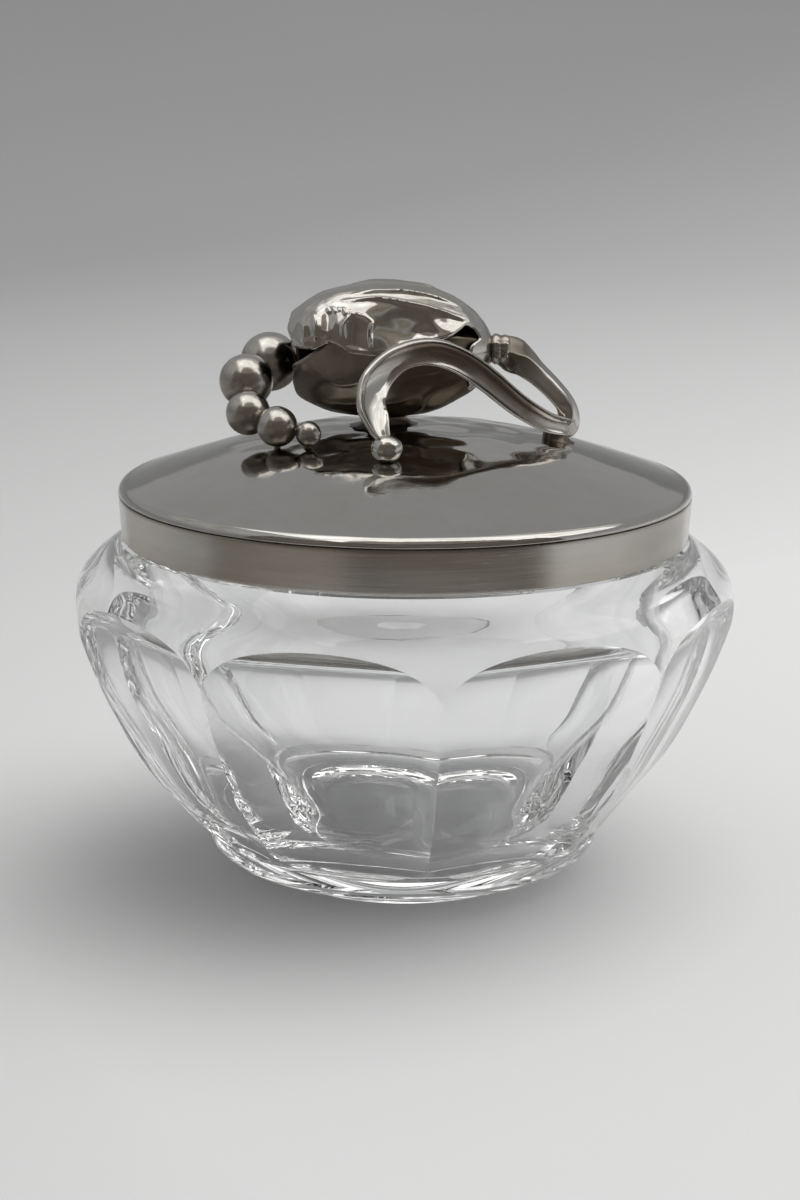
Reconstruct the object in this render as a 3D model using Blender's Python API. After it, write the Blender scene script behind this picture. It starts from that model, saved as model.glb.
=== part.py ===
"""Covered sugar bowl: a nine-panel cut-glass bowl with a domed silver lid.

The lid carries a soldered finial: a closed bud of two petals, a string of five beads that spills
from its mouth, a stem that loops back to the dome and a tendril that arches in front of the bud.
Lengths below are in millimetres; +Z is up, -Y is the front and the foot rests on Z = 0.
"""

import math

import bmesh
import bpy
from mathutils import Vector

MM = 0.001
GAP = 0.3                    # clearance kept between pieces that touch on the real object
BOWL_SIDES = 54              # six to a panel
LID_SIDES = 54

# Glass bowl
FOOT_RADIUS = 23.4
FOOT_HEIGHT = 2.0
PONTIL_RADIUS = 20.0
PONTIL_DEPTH = 2.2
BELT_RADIUS = 33.1
BELT_HEIGHT = 7.4
SHOULDER_HEIGHT = 56.5
NECK_RADIUS = 45.2
MOUTH_RADIUS = 41.4
RIM_HEIGHT = 63.3
FLOOR_HEIGHT = 7.6
BULGE = [(BELT_RADIUS, BELT_HEIGHT), (37.4, 11.3), (45.4, 20.0), (51.2, 30.0), (53.4, 38.0),
         (54.3, 45.0), (52.9, 51.0), (46.8, SHOULDER_HEIGHT)]
CAVITY = [(MOUTH_RADIUS, 57.5), (45.0, 51.0), (46.4, 45.0), (44.4, 35.0), (38.8, 25.0),
          (31.2, 15.5), (24.4, 9.8), (16.0, 7.9), (0.0, FLOOR_HEIGHT)]
PANELS = 9
PANEL_TURN = 5.9             # azimuth of a ridge from the front, towards +X, in degrees
PANEL_FACE = [(32.7, BELT_HEIGHT), (35.1, 11.3), (41.6, 20.0), (46.5, 30.0), (49.6, 38.0),
              (51.9, 45.7)]
COVE_RADIUS = 13.0           # the wheel's edge leaves this hollow at the head of each panel
COVE_RISE = 8.0

# Lid
LID_RADIUS = 47.0
LID_WALL = 0.9
SEAM_HEIGHT = 63.9           # solder seam between dome and band
DOME_RISE = 9.1
DOME_BASE = 65.0
EDGE_RADIUS = 1.6
BAND_BOTTOM = SHOULDER_HEIGHT + GAP
BAND_TAPER = 0.4

# Finial
BUD_CENTRE = Vector((-3.0, 3.0, 86.4))
BUD_HEIGHT = 11.1
BUD_DEPTH = 10.0
BUD_MOUTH = 18.4             # from the bud's centre to the tip that its mouth is cut from
BUD_HEEL = 17.3
BUD_MOUTH_CURVE = 2.2        # exponent of the swell towards the mouth
BELLY_CURVE = 2.8
PETAL_TUCK = 1.3
PETAL_WALL = 0.9
PETAL_END = 14.3             # where both petals end against the heel
UPPER_START = -16.2
LOWER_START = -14.9
BUD_POST_RADIUS = 3.0
BEADS = [((-22.6, 8.9, 83.4), 4.9), ((-26.0, 0.6, 81.4), 4.4), ((-25.3, -6.1, 77.2), 3.6),
         ((-20.4, -10.8, 75.8), 3.25), ((-15.4, -12.4, 74.9), 2.05)]
BEAD_CLEARANCE = 0.2
STEM_PATH = [(17.4, 3.0, 85.7), (19.4, 3.0, 84.3), (22.0, 3.0, 82.6), (24.8, 3.0, 80.4),
             (26.8, 2.9, 77.9), (27.2, 2.8, 75.6), (26.4, 2.7, 74.0)]
TENDRIL_PATH = [(26.0, 0.0, 74.6), (22.7, -1.9, 75.8), (18.0, -4.6, 79.0), (13.8, -6.8, 82.7),
                (9.6, -8.8, 86.0), (5.7, -10.0, 87.9), (2.2, -11.0, 88.3), (-1.1, -12.4, 87.5),
                (-3.9, -14.2, 85.5), (-5.6, -16.4, 83.0), (-5.8, -18.6, 80.4), (-4.8, -20.6, 77.8),
                (-4.1, -21.2, 77.0)]
CHANNEL = [(-2.1, 0.8), (-1.5, 0.8), (0.0, 0.2), (1.5, 0.8), (2.1, 0.8), (2.1, -0.4),
           (1.3, -0.8), (-1.3, -0.8), (-2.1, -0.4)]
KNOB_CENTRE = (-2.9, -21.6, 74.2)
KNOB_RADIUS = 2.2
BEAD_POST_RADIUS = 0.8
LOOP_PAD_CENTRE = (24.6, 1.4)
LOOP_PAD_RADIUS = 2.0
LOOP_PAD_TOP = 72.65

SILVER = ((0.66, 0.64, 0.60, 1.0), 0.16, 1.0)
SILVER_BRUSHED = ((0.60, 0.58, 0.55, 1.0), 0.28, 1.0)
SILVER_DARK = ((0.46, 0.43, 0.39, 1.0), 0.24, 1.0)
GLASS = ((0.95, 0.97, 0.97, 1.0), 0.02, 0.0)


def clear_scene():
    for thing in list(bpy.data.objects):
        bpy.data.objects.remove(thing, do_unlink=True)


def make_material(name, look, clear=0.0):
    colour, roughness, metallic = look
    material = bpy.data.materials.new(name)
    material.use_nodes = True
    shader = material.node_tree.nodes["Principled BSDF"]
    shader.inputs["Base Color"].default_value = colour
    shader.inputs["Roughness"].default_value = roughness
    shader.inputs["Metallic"].default_value = metallic
    shader.inputs["Transmission Weight"].default_value = clear
    return material


def smooth_line(points, steps):
    """A Catmull-Rom curve through the points, with this many steps between two of them."""
    knots = [Vector(p) for p in points]
    ends = [2 * knots[0] - knots[1]] + knots + [2 * knots[-1] - knots[-2]]
    line = []
    for a, b, c, d in zip(ends, ends[1:], ends[2:], ends[3:]):
        for i in range(steps):
            t = i / steps
            line.append(0.5 * (2 * b + (c - a) * t + (2 * a - 5 * b + 4 * c - d) * t ** 2
                               + (3 * b - a - 3 * c + d) * t ** 3))
    return line + [knots[-1]]


def arc(centre, radius, start, end, steps):
    """Points (r, z) of an arc, angles in degrees."""
    turns = [math.radians(start + (end - start) * i / steps) for i in range(steps + 1)]
    return [(centre[0] + radius * math.cos(t), centre[1] + radius * math.sin(t)) for t in turns]


def add_object(name, mesh, material, parent=None, location=(0.0, 0.0, 0.0), crease=32.0):
    mesh.materials.append(material)
    mesh.shade_smooth()
    mesh.set_sharp_from_angle(angle=math.radians(crease))
    thing = bpy.data.objects.new(name, mesh)
    thing.location = Vector(location) * MM
    thing.parent = parent
    bpy.context.scene.collection.objects.link(thing)
    return thing


def mesh_from(name, points, faces):
    """A closed mesh from points in millimetres, its faces turned outwards."""
    mesh = bpy.data.meshes.new(name)
    mesh.from_pydata([Vector(p) * MM for p in points], [], faces)
    work = bmesh.new()
    work.from_mesh(mesh)
    bmesh.ops.recalc_face_normals(work, faces=work.faces)
    work.to_mesh(mesh)
    work.free()
    return mesh


def turned_mesh(name, profile, segments, closed=False):
    """Turns an (r, z) outline about Z. An open outline starts and ends on the axis."""
    points = []
    rings = []
    for radius, height in profile:
        if radius < 1e-6:
            rings.append([len(points)] * segments)
            points.append((0.0, 0.0, height))
            continue
        rings.append(list(range(len(points), len(points) + segments)))
        for i in range(segments):
            turn = 2 * math.pi * i / segments
            points.append((radius * math.sin(turn), -radius * math.cos(turn), height))
    pairs = list(zip(rings, rings[1:]))
    if closed:
        pairs.append((rings[-1], rings[0]))
    faces = []
    for upper, lower in pairs:
        for i in range(segments):
            j = (i + 1) % segments
            corners = [upper[i], upper[j], lower[j], lower[i]]
            faces.append(list(dict.fromkeys(corners)))
    return mesh_from(name, points, faces)


def lofted_mesh(name, rings):
    """A closed skin over rings of equal length, capped at both ends."""
    count = len(rings[0])
    points = [p for ring in rings for p in ring]
    faces = [list(range(count)), list(range(len(points) - count, len(points)))]
    for k in range(len(rings) - 1):
        for i in range(count):
            j = (i + 1) % count
            faces.append([k * count + i, k * count + j, (k + 1) * count + j, (k + 1) * count + i])
    return mesh_from(name, points, faces)


def strip_rings(path, section, facing, widths):
    """Rings of a strip along the path. Its outline is (across, towards facing) in millimetres."""
    facing = Vector(facing).normalized()
    rings = []
    for k, point in enumerate(path):
        ahead = path[min(k + 1, len(path) - 1)] - path[max(k - 1, 0)]
        across = ahead.cross(facing).normalized()
        scale = widths(k / (len(path) - 1))
        rings.append([point + across * a * scale + facing * b for a, b in section])
    return rings


# ---------------------------------------------------------------- glass bowl

def cage_ring(face, height):
    """Corners of the nine-sided cage whose sides stand this far from the axis."""
    radius = face / math.cos(math.pi / PANELS)
    turns = [math.radians(PANEL_TURN) + 2 * math.pi * i / PANELS for i in range(PANELS)]
    return [(radius * math.sin(t), -radius * math.cos(t), height) for t in turns]


def panel_cage():
    """The cut panels as the inside of a nine-sided cage, which the bulge is trimmed to."""
    line = [tuple(p) for p in smooth_line([(r, z, 0.0) for r, z in PANEL_FACE], 2)]
    (r0, z0, _), (r1, z1, _) = line[-2], line[-1]
    slope = (r1 - r0) / (z1 - z0)
    outline = [(PANEL_FACE[0][0] - 6.0, -5.0)] + [(r, z) for r, z, _ in line]
    for i in range(1, 6):
        rise = COVE_RISE * i / 5
        outline.append((r1 + slope * rise + rise ** 2 / (2 * COVE_RADIUS), z1 + rise))
    outline.append((outline[-1][0] + 4.0, RIM_HEIGHT + 8.0))
    cage = add_object("panel_cage", lofted_mesh("panel_cage", [cage_ring(r, z) for r, z in outline]),
                      bpy.data.materials["glass"])
    cage.hide_render = True
    cage.display_type = "WIRE"
    return cage


def glass_bowl(material):
    bulge = [(p.x, p.y) for p in smooth_line([(r, z, 0.0) for r, z in BULGE], 2)]
    cavity = [(max(p.x, 0.0), p.y) for p in smooth_line([(r, z, 0.0) for r, z in CAVITY], 2)]
    pontil = [(PONTIL_RADIUS * i / 4, PONTIL_DEPTH * (1 - (i / 4) ** 2)) for i in range(5)]
    rim = arc((MOUTH_RADIUS + 1.0, RIM_HEIGHT - 1.0), 1.0, 180, 90, 3)
    rim += arc((NECK_RADIUS - 1.0, RIM_HEIGHT - 1.0), 1.0, 90, 0, 3)
    foot = [(BELT_RADIUS - 4.0, BELT_HEIGHT - 3.4), (FOOT_RADIUS + 0.8, FOOT_HEIGHT),
            (FOOT_RADIUS, FOOT_HEIGHT - 0.4), (FOOT_RADIUS, 0.3), (FOOT_RADIUS - 0.3, 0.0)]
    neck = [(NECK_RADIUS, SHOULDER_HEIGHT + 0.3), (NECK_RADIUS + 0.3, SHOULDER_HEIGHT)]
    profile = cavity[::-1] + rim + neck + bulge[::-1] + foot + pontil[::-1]
    bowl = add_object("glass_bowl", turned_mesh("glass_bowl", profile, BOWL_SIDES), material, crease=14.0)
    trim = bowl.modifiers.new("cut_panels", "BOOLEAN")
    trim.operation = "INTERSECT"
    trim.object = panel_cage()
    return bowl


# ---------------------------------------------------------------- lid

def dome_height(radius):
    """Height of the dome's outer face at this distance from the axis."""
    return DOME_BASE + DOME_RISE * (1 - (radius / LID_RADIUS) ** 2)


def lid_dome(material, parent):
    reach = LID_RADIUS - EDGE_RADIUS
    outer = [(reach * i / 9, dome_height(reach * i / 9)) for i in range(9)]
    drop = dome_height(reach) - EDGE_RADIUS
    edge = arc((reach, drop), EDGE_RADIUS, 80, 0, 5) + [(LID_RADIUS, SEAM_HEIGHT)]
    inner = [(r - LID_WALL * r / reach, z - LID_WALL) for r, z in outer[::-2]]
    inner.insert(0, (LID_RADIUS - LID_WALL, SEAM_HEIGHT))
    inner.insert(1, (LID_RADIUS - LID_WALL - 0.5, drop + 0.2))
    return add_object("lid_dome", turned_mesh("lid_dome", outer + edge + inner, LID_SIDES), material, parent)


def lid_band(material, parent):
    top = SEAM_HEIGHT - GAP
    foot = LID_RADIUS - BAND_TAPER
    outline = [(LID_RADIUS - 0.1, top), (foot, BAND_BOTTOM + 0.3), (foot - 0.3, BAND_BOTTOM),
               (foot - LID_WALL, BAND_BOTTOM), (LID_RADIUS - LID_WALL - 0.1, top)]
    mesh = turned_mesh("lid_band", outline, LID_SIDES, closed=True)
    return add_object("lid_band", mesh, material, parent)


# ---------------------------------------------------------------- bud

def bud_swell(along, blunt):
    """Share of the bud's full section at this distance from its centre; the mouth end is blunter."""
    if along > 0:
        return math.sqrt(max(1 - (along / BUD_HEEL) ** 2, 0.0))
    return math.sqrt(max(1 - (-along / BUD_MOUTH) ** blunt, 0.0))


def petal_mesh(name, start, end, edge, tuck, blunt, sign):
    """A curved sheet over the bud, its sides tucked in; sign +1 covers its top, -1 its belly."""
    along_steps = 15
    round_steps = 12
    points = []
    for inset in (0.0, PETAL_WALL):
        for i in range(along_steps + 1):
            share = i / along_steps
            along = start + (end - start) * share
            side = BUD_DEPTH * bud_swell(along, BUD_MOUTH_CURVE) - tuck - inset
            height = BUD_HEIGHT * bud_swell(along, blunt) - inset
            low = math.radians(edge(share))
            for j in range(round_steps + 1):
                turn = low + (math.pi - 2 * low) * j / round_steps
                y = side * math.cos(turn)
                z = height * math.sin(turn) * sign
                points.append(BUD_CENTRE + Vector((along, -y, z)))
    row = round_steps + 1
    sheet = (along_steps + 1) * row
    faces = []
    for i in range(along_steps):
        for j in range(round_steps):
            a = i * row + j
            faces.append([a, a + 1, a + row + 1, a + row])
            faces.append([sheet + a, sheet + a + row, sheet + a + row + 1, sheet + a + 1])
        for j in (0, round_steps):
            a = i * row + j
            faces.append([a, a + row, sheet + a + row, sheet + a])
    for j in range(round_steps):
        for a in (j, along_steps * row + j):
            faces.append([a, a + 1, sheet + a + 1, sheet + a])
    return mesh_from(name, points, faces)


def upper_edge(share):
    """Lower edge of the upper petal, in degrees above the bud's widest line: wavy, lifted at the heel."""
    lift = 34.0 * math.exp(-((share - 0.93) / 0.06) ** 2)
    return 6.0 + 3.0 * math.sin(share * 16.0) + lift


def lower_edge(share):
    return -12.0 + 8.0 * max(share - 0.8, 0.0) / 0.2


def bud_petals(material, dark, parent):
    upper = petal_mesh("bud_upper_petal", UPPER_START, PETAL_END, upper_edge, 0.0, BUD_MOUTH_CURVE, 1)
    add_object("bud_upper_petal", upper, material, parent, crease=50.0)
    lower = petal_mesh("bud_lower_petal", LOWER_START, PETAL_END, lower_edge, PETAL_TUCK, BELLY_CURVE, -1)
    add_object("bud_lower_petal", lower, dark, parent, crease=50.0)


def bud_calyx(material, parent):
    """The closed heel of the bud, which both petals end against."""
    start = PETAL_END + GAP
    rings = []
    for i in range(7):
        along = start + (BUD_HEEL - 0.25 - start) * math.sin(i / 6 * math.pi / 2)
        swell = bud_swell(along, 2.0)
        turns = [2 * math.pi * j / 24 for j in range(24)]
        rings.append([BUD_CENTRE + Vector((along, BUD_DEPTH * swell * math.cos(t),
                                           BUD_HEIGHT * swell * math.sin(t))) for t in turns])
    return add_object("bud_calyx", lofted_mesh("bud_calyx", rings), material, parent)


def round_post(name, centre, bottom, top, radius, material, parent):
    """A short upright solder post with a softened edge."""
    soft = min(0.15, (top - bottom) / 4)
    outline = [(0.0, top - bottom), (radius - soft, top - bottom), (radius, top - bottom - soft),
               (radius, soft), (radius - soft, 0.0), (0.0, 0.0)]
    mesh = turned_mesh(name, outline, 16)
    return add_object(name, mesh, material, parent, (centre[0], centre[1], bottom))


# ---------------------------------------------------------------- beads, stem and tendril

def beads(material, parent):
    for number, (centre, radius) in enumerate(BEADS, start=1):
        name = f"bead_{number}"
        outline = arc((0.0, 0.0), radius - BEAD_CLEARANCE, 90, -90, 8)
        outline[0] = (0.0, outline[0][1])
        outline[-1] = (0.0, outline[-1][1])
        add_object(name, turned_mesh(name, outline, 16), material, parent, centre)


def stem_collar(material, parent):
    outline = [(0.0, 2.3), (1.9, 2.3), (2.5, 1.6), (2.5, 0.4), (2.2, 0.0), (0.0, 0.0)]
    heel = BUD_CENTRE.x + BUD_HEEL
    collar = add_object("stem_collar", turned_mesh("stem_collar", outline, 24), material, parent,
                        (heel, BUD_CENTRE.y, BUD_CENTRE.z + 0.1))
    collar.rotation_euler = (0.0, math.radians(90.0), 0.0)
    return collar


def stem_width(share):
    return 1.25 - 0.35 * share


def tendril_width(share):
    return 0.9 + 0.25 * math.sin(math.pi * share)


def stem_loop(material, parent):
    rings = strip_rings(smooth_line(STEM_PATH, 3), CHANNEL, (0.0, -1.0, 0.0), stem_width)
    return add_object("stem_loop", lofted_mesh("stem_loop", rings), material, parent, crease=50.0)


def tendril_arch(material, parent):
    reach = Vector(TENDRIL_PATH[0]) - Vector(TENDRIL_PATH[-1])
    facing = (reach.y, -reach.x, 0.0)
    rings = strip_rings(smooth_line(TENDRIL_PATH, 3), CHANNEL, facing, tendril_width)
    return add_object("tendril_arch", lofted_mesh("tendril_arch", rings), material, parent, crease=50.0)


def tendril_knob(material, parent):
    outline = arc((0.0, 0.0), KNOB_RADIUS, 90, -56, 7)
    outline[0] = (0.0, KNOB_RADIUS)
    outline.append((0.0, outline[-1][1]))
    mesh = turned_mesh("tendril_knob", outline, 16)
    return add_object("tendril_knob", mesh, material, parent, KNOB_CENTRE)


def main():
    clear_scene()
    glass = make_material("glass", GLASS, clear=1.0)
    silver = make_material("silver_polished", SILVER)
    brushed = make_material("silver_band", SILVER_BRUSHED)
    dark = make_material("silver_patina", SILVER_DARK)

    glass_bowl(glass)
    lid = bpy.data.objects.new("lid_axis", None)
    bpy.context.scene.collection.objects.link(lid)
    lid_dome(silver, lid)
    lid_band(brushed, lid)
    bud_petals(silver, dark, lid)
    bud_calyx(silver, lid)
    beads(silver, lid)
    stem_collar(dark, lid)
    stem_loop(silver, lid)
    tendril_arch(silver, lid)
    tendril_knob(silver, lid)

    belly = BUD_CENTRE.z - BUD_HEIGHT
    round_post("bud_post", (BUD_CENTRE.x, BUD_CENTRE.y), dome_height(0.0) + 0.1, belly - GAP,
               BUD_POST_RADIUS, dark, lid)
    (bead_x, bead_y, bead_z), bead_radius = BEADS[3]
    round_post("bead_post", (bead_x, bead_y), dome_height(math.hypot(bead_x, bead_y)) + 0.15,
               bead_z - bead_radius + BEAD_CLEARANCE - 0.15, BEAD_POST_RADIUS, dark, lid)
    nearest_edge = LOOP_PAD_CENTRE[0] - LOOP_PAD_RADIUS
    round_post("loop_pad", LOOP_PAD_CENTRE, dome_height(nearest_edge) + 0.2, LOOP_PAD_TOP,
               LOOP_PAD_RADIUS, dark, lid)


main()
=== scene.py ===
"""Looks of the covered sugar bowl: cut glass, a silver lid and its soldered finial.

The object's lengths are in millimetres, and those of the stage, at the end, in metres. +Z is up,
-Y is the front and the foot rests on Z = 0. Azimuths are measured from the front towards +X.
"""

import math

import bmesh
import bpy
import numpy as np
from mathutils import Matrix, Vector, noise

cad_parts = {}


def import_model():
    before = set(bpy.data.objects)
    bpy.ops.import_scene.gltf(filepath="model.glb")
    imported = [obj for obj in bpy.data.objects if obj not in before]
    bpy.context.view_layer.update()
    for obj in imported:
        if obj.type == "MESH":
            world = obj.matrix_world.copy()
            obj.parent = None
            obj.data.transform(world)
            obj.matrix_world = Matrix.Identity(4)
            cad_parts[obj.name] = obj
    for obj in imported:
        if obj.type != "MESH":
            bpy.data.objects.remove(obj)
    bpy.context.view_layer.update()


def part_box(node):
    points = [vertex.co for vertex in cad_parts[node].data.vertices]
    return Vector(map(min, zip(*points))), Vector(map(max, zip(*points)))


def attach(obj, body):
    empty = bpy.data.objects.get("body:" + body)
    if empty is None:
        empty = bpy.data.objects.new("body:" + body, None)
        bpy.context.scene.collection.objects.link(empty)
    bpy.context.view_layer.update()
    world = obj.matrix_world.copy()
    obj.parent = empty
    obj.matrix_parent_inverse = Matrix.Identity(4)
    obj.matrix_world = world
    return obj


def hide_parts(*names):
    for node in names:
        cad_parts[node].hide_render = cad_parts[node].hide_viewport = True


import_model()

MM = 0.001


def box_mm(node):
    low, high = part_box(node)
    return low / MM, high / MM


# ---------------------------------------------------------------- sizes

dome_low, dome_high = box_mm("lid_dome")

# Glass bowl
RIM_HEIGHT = box_mm("glass_bowl")[1].z
NECK_RADIUS = 45.2
MOUTH_RADIUS = 41.4
BELT_HEIGHT = 7.4
SHOULDER_HEIGHT = 56.5
RIM_ROUNDING = 1.2
BASE_ROUNDING = 4.6
FOOT_RADIUS = 23.4
FOOT_ROUNDING = 0.7
PONTIL_RADIUS = 20.0         # the polished hollow under the foot
PONTIL_DEPTH = 2.2
BULGE = [(33.1, BELT_HEIGHT), (37.4, 11.3), (45.4, 20.0), (51.2, 30.0), (53.4, 38.0),
         (54.3, 45.0), (52.9, 51.0), (46.8, SHOULDER_HEIGHT)]
CAVITY = [(MOUTH_RADIUS, 57.5), (45.0, 51.0), (46.4, 45.0), (44.4, 35.0), (38.8, 25.0),
          (31.2, 15.5), (24.4, 9.8), (16.0, 7.9), (0.0, 7.6)]
PANELS = 9
PANEL_TURN = math.radians(5.9)    # azimuth of the ridge nearest the front
PANEL_FACE = [(32.7, BELT_HEIGHT), (35.1, 11.3), (41.6, 20.0), (46.5, 30.0), (49.6, 38.0),
              (51.9, 45.7)]
COVE_START = PANEL_FACE[-1][1]    # above it a panel ends in the hollow that the wheel leaves
COVE_RADIUS = 13.0
COLUMNS = 48                 # mesh columns to a panel

# Lid
LID_RADIUS = (dome_high.x - dome_low.x) / 2
SEAM_HEIGHT = dome_low.z
BAND_BOTTOM = box_mm("lid_band")[0].z
DOME_BASE = 65.0
DOME_RISE = dome_high.z - DOME_BASE
EDGE_RADIUS = 1.6
LID_WALL = 0.9
SWELL_RADIUS = 26.5          # a ring round the finial where the dome stands a little proud
SWELL_WIDTH = 6.0
SWELL_HEIGHT = 0.35
WORKED_RADIUS = 28.0         # the dome is more hammered within this radius
BAND_TAPER = 0.4
LID_SEGMENTS = 240

# Finial
BUD_CENTRE = Vector((-3.0, 3.0, 86.4))
BUD_HEIGHT = 11.1
BUD_DEPTH = 10.0
BUD_MOUTH = 18.4
BUD_HEEL = 17.3
UPPER_START = -16.2          # where each petal starts at the mouth, from the bud's centre
LOWER_START = -15.4
BUD_END = 15.1               # where both petals end over the heel
PETAL_WALL = 0.9
PETAL_TUCK = 1.3
BEAD_COUNT = 5
BEAD_CLEARANCE = 0.2         # how much the beads swell to meet the solder between them
FOOT_OVERLAP = 0.6           # how far a fillet reaches up into what it carries
STEM_PATH = [(15.6, 3.0, 86.4), (17.4, 3.0, 85.7), (19.5, 3.0, 84.6), (21.9, 3.0, 82.5),
             (24.4, 3.0, 80.1), (26.3, 2.9, 77.8), (27.0, 2.6, 75.7), (26.7, 1.9, 74.1),
             (25.6, 1.2, 73.6)]
TENDRIL_PATH = [(27.0, 1.0, 74.3), (26.0, 0.0, 74.6), (22.7, -1.9, 75.8), (18.0, -4.6, 79.0),
                (13.8, -6.8, 82.7), (9.6, -8.8, 86.0), (5.7, -10.0, 87.9), (2.2, -11.0, 88.3),
                (-1.1, -12.4, 87.5), (-3.9, -14.2, 85.5), (-5.6, -16.4, 83.0), (-5.8, -18.6, 80.4),
                (-4.8, -20.6, 77.8), (-3.6, -21.7, 75.8)]


# ---------------------------------------------------------------- mesh tools

def smooth_line(points, steps, closed=False):
    """A Catmull-Rom curve through the points, with this many steps between two of them."""
    knots = [Vector(p) for p in points]
    if closed:
        ends = [knots[-1]] + knots + knots[:2]
    else:
        ends = [2 * knots[0] - knots[1]] + knots + [2 * knots[-1] - knots[-2]]
    line = []
    for a, b, c, d in zip(ends, ends[1:], ends[2:], ends[3:]):
        for i in range(steps):
            t = i / steps
            line.append(0.5 * (2 * b + (c - a) * t + (2 * a - 5 * b + 4 * c - d) * t ** 2
                               + (3 * b - a - 3 * c + d) * t ** 3))
    return line if closed else line + [knots[-1]]


def outline(points, steps=10):
    """A smooth (r, z) outline through the points, as two arrays."""
    line = smooth_line([(r, z, 0.0) for r, z in points], steps)
    return np.array([max(p.x, 0.0) for p in line]), np.array([p.y for p in line])


def arc(centre, radius, start, end, steps):
    """Points (r, z) of an arc, angles in degrees."""
    turns = [math.radians(start + (end - start) * i / steps) for i in range(steps + 1)]
    return [(centre[0] + radius * math.cos(t), centre[1] + radius * math.sin(t)) for t in turns]


def curve_through(stations, at):
    """A smooth value at each place in `at`, through (place, value) stations."""
    line = smooth_line([(x, v, 0.0) for x, v in stations], 12)
    return np.interp(at, [p.x for p in line], [p.y for p in line])


def between(places, values):
    """A function of a share of the length that goes straight from station to station."""
    return lambda share: float(np.interp(share, places, values))


def clamped(value):
    return max(0.0, min(1.0, value))


def rough(point, size, seed=0.0):
    """Smooth noise, -1 to 1, with features about `size` millimetres across."""
    return noise.noise(Vector(point) / size + Vector((seed, 1.7 * seed, -seed)))


def add_piece(name, points, faces, material, body, slot, nodes, sharp=35.0):
    """A closed mesh in millimetres that rides on a body and stands for CAD nodes."""
    mesh = bpy.data.meshes.new(name)
    mesh.from_pydata([Vector(p) * MM for p in points], [], faces)
    work = bmesh.new()
    work.from_mesh(mesh)
    bmesh.ops.remove_doubles(work, verts=work.verts, dist=1e-7)
    bmesh.ops.recalc_face_normals(work, faces=work.faces)
    work.to_mesh(mesh)
    work.free()
    mesh.materials.append(material)
    mesh.shade_smooth()
    mesh.set_sharp_from_angle(angle=math.radians(sharp))
    piece = bpy.data.objects.new(name, mesh)
    bpy.context.scene.collection.objects.link(piece)
    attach(piece, body)
    if nodes:
        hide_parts(*nodes)
    return piece


def ring_faces(rings):
    """Quads between neighbouring rings of point numbers."""
    faces = []
    for upper, lower in zip(rings, rings[1:]):
        count = len(upper)
        for i in range(count):
            j = (i + 1) % count
            faces.append(list(dict.fromkeys([upper[i], upper[j], lower[j], lower[i]])))
    return faces


def turned(profile, segments, centre=(0.0, 0.0, 0.0), axis=(0.0, 0.0, 1.0), wobble=None):
    """Points and faces of an (r, z) outline turned about an axis; a radius of 0 closes it."""
    tilt = Vector((0.0, 0.0, 1.0)).rotation_difference(Vector(axis).normalized())
    points = []
    rings = []
    for radius, height in profile:
        if radius < 1e-6:
            rings.append([len(points)] * segments)
            points.append(Vector(centre) + tilt @ Vector((0.0, 0.0, height)))
            continue
        rings.append(list(range(len(points), len(points) + segments)))
        for i in range(segments):
            turn = 2 * math.pi * i / segments
            spot = Vector((radius * math.sin(turn), -radius * math.cos(turn), height))
            if wobble:
                spot += wobble(spot)
            points.append(Vector(centre) + tilt @ spot)
    return points, rings


def skin(rings):
    """Points and faces of a closed skin over rings of points, capped at both ends."""
    count = len(rings[0])
    points = [p for ring in rings for p in ring]
    numbers = [list(range(k * count, (k + 1) * count)) for k in range(len(rings))]
    return points, ring_faces(numbers) + [numbers[0], numbers[-1]]


def thick_sheet(outer, wall):
    """Points and faces of a sheet with a rounded rim, from a grid of its outer points."""
    along = np.gradient(outer, axis=0)
    across = np.gradient(outer, axis=1)
    normal = np.cross(along, across)
    normal /= np.linalg.norm(normal, axis=2, keepdims=True)
    middle = outer.reshape(-1, 3).mean(axis=0)
    if ((outer - middle) * normal).sum() < 0:
        normal = -normal
    inner = outer - normal * wall
    rows, columns = outer.shape[:2]
    border = ([(0, j) for j in range(columns)] + [(i, columns - 1) for i in range(1, rows)]
              + [(rows - 1, j) for j in range(columns - 2, -1, -1)]
              + [(i, 0) for i in range(rows - 2, 0, -1)])
    points = [Vector(p) for p in outer.reshape(-1, 3)] + [Vector(p) for p in inner.reshape(-1, 3)]
    sheet = rows * columns
    number = np.arange(sheet).reshape(rows, columns)
    faces = []
    for i in range(rows - 1):
        for j in range(columns - 1):
            quad = [number[i, j], number[i, j + 1], number[i + 1, j + 1], number[i + 1, j]]
            faces.append([int(n) for n in quad])
            faces.append([int(n) + sheet for n in quad[::-1]])
    rim = []
    for i, j in border:
        inwards = outer[min(max(i, 1), rows - 2), min(max(j, 1), columns - 2)] - outer[i, j]
        inwards /= max(np.linalg.norm(inwards), 1e-9)
        rim.append([Vector((outer[i, j] * (1 - t) + inner[i, j] * t)
                           - inwards * wall * 0.5 * math.sin(math.pi * t)) for t in (0.25, 0.5, 0.75)])
    start = len(points)
    for spots in rim:
        points += spots
    count = len(border)

    def over_rim(k):
        """Point numbers from the outer to the inner side, over one place of the rim."""
        outside = int(number[border[k]])
        return [outside] + [start + 3 * k + s for s in range(3)] + [outside + sheet]

    for k in range(count):
        a = over_rim(k)
        b = over_rim((k + 1) % count)
        for s in range(4):
            faces.append([a[s], b[s], b[s + 1], a[s + 1]])
    return points, faces


def ball(place):
    """Points and faces of a fine sphere whose every direction is moved to place(direction)."""
    work = bmesh.new()
    bmesh.ops.create_icosphere(work, subdivisions=5, radius=1.0)
    work.verts.index_update()
    points = [place(vertex.co.normalized()) for vertex in work.verts]
    faces = [[v.index for v in face.verts] for face in work.faces]
    work.free()
    return points, faces


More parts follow.
